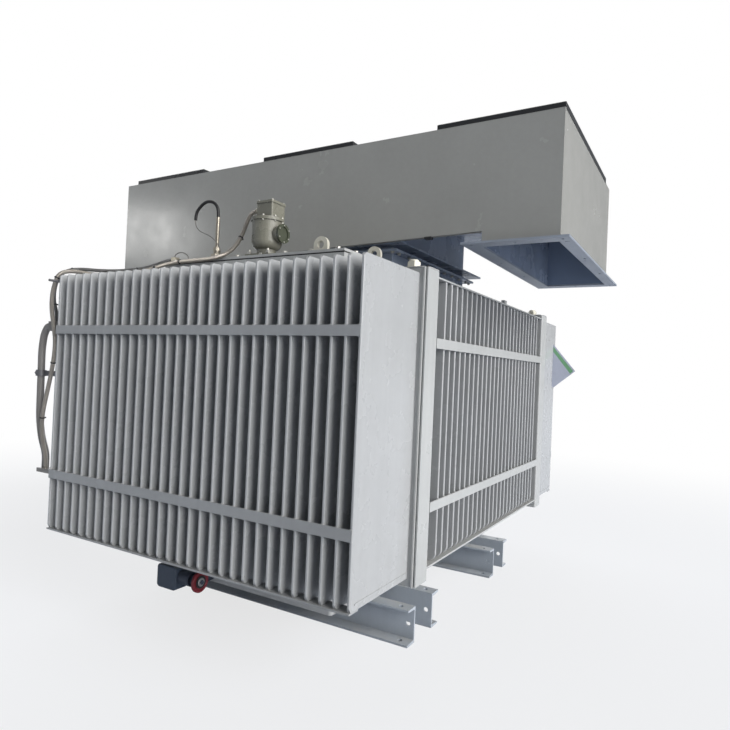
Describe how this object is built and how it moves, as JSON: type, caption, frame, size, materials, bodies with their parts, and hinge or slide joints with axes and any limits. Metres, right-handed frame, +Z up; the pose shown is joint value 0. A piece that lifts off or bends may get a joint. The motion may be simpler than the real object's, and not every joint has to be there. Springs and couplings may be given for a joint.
{
  "type": "power transformer",
  "caption": "Oil-filled power transformer with corrugated cooling walls on a channel base, a cable duct with a downward outlet, a relay, conduits and a drain valve.",
  "frame": {"origin": "on the floor, midway between the channel skids, under the centre of the tank", "axes": "+X to the right along the front fins, towards the duct's outlet; +Y to the back; +Z up"},
  "size_m": [2.395, 2.448, 2.036],
  "materials": {
    "black_rubber": "matt",
    "cap_plastic": "matt",
    "capillary_steel": "satin",
    "card_white": "matt",
    "clamp_steel": "satin",
    "conduit_steel": "satin",
    "dark_conduit": "satin",
    "duct_paint": "satin grey",
    "fin_paint": "gloss grey",
    "grey_paint": "semi-gloss grey",
    "nickel_brass": "dull",
    "pipe_paint": "satin",
    "pocket_brass": "bright",
    "red_paint": "satin",
    "relay_casting": "painted casting",
    "skid_paint": "satin blue-grey",
    "valve_casting": "painted",
    "window_glass": "clear",
    "zinc_yellow": "satin cream"
  },
  "bodies": {
    "housing": {"tank_body": "grey_paint", "header_front_right": "grey_paint", "header_front_left": "grey_paint", "header_back_right": "grey_paint", "header_back_left": "grey_paint", "front_fins": "fin_paint", "back_fins": "fin_paint", "right_fins": "fin_paint", "left_fins": "fin_paint", "front_bars": "grey_paint", "back_bars": "grey_paint", "right_bars": "grey_paint", "left_bars": "grey_paint", "tank_flange": "grey_paint", "cover_gasket": "black_rubber", "cover_plate": "grey_paint", "lifting_eyes": "zinc_yellow", "header_caps": "zinc_yellow", "side_lugs": "grey_paint", "skid_front_outer": "skid_paint", "skid_front_inner": "skid_paint", "skid_back_inner": "skid_paint", "skid_back_outer": "skid_paint", "throat_lower": "duct_paint", "throat_spacer": "duct_paint", "throat_upper": "duct_paint", "duct_front": "duct_paint", "duct_back": "duct_paint", "duct_right_end": "duct_paint", "duct_left_end": "duct_paint", "duct_floor": "duct_paint", "duct_roof": "duct_paint", "outlet_side_wall": "duct_paint", "outlet_flange": "duct_paint", "duct_lid_left": "duct_paint", "duct_lid_middle": "duct_paint", "duct_lid_right": "duct_paint", "relay_body": "relay_casting", "sight_glass": "window_glass", "relay_box": "relay_casting", "relay_lid": "relay_casting", "relay_gland": "nickel_brass", "thermometer_pocket": "pocket_brass", "valve_body": "valve_casting", "valve_cap": "cap_plastic", "relay_conduit": "conduit_steel", "second_conduit": "dark_conduit", "side_pipe": "pipe_paint", "pipe_brackets": "pipe_paint", "pipe_clamp": "clamp_steel", "rod_stub": "clamp_steel", "cover_gland": "nickel_brass", "sensor_sheath": "black_rubber", "sensor_capillary": "capillary_steel", "bonding_wire": "capillary_steel", "tag_card": "card_white"},
    "wheel": {"handwheel": "red_paint"}
  },
  "joints": [
    {"name": "drain_valve_spindle", "type": "hinge", "parent": "housing", "child": "wheel", "pos_m": [-0.112, -0.95, 0.182], "axis": [1, 0, 0], "continuous": true}
  ]
}
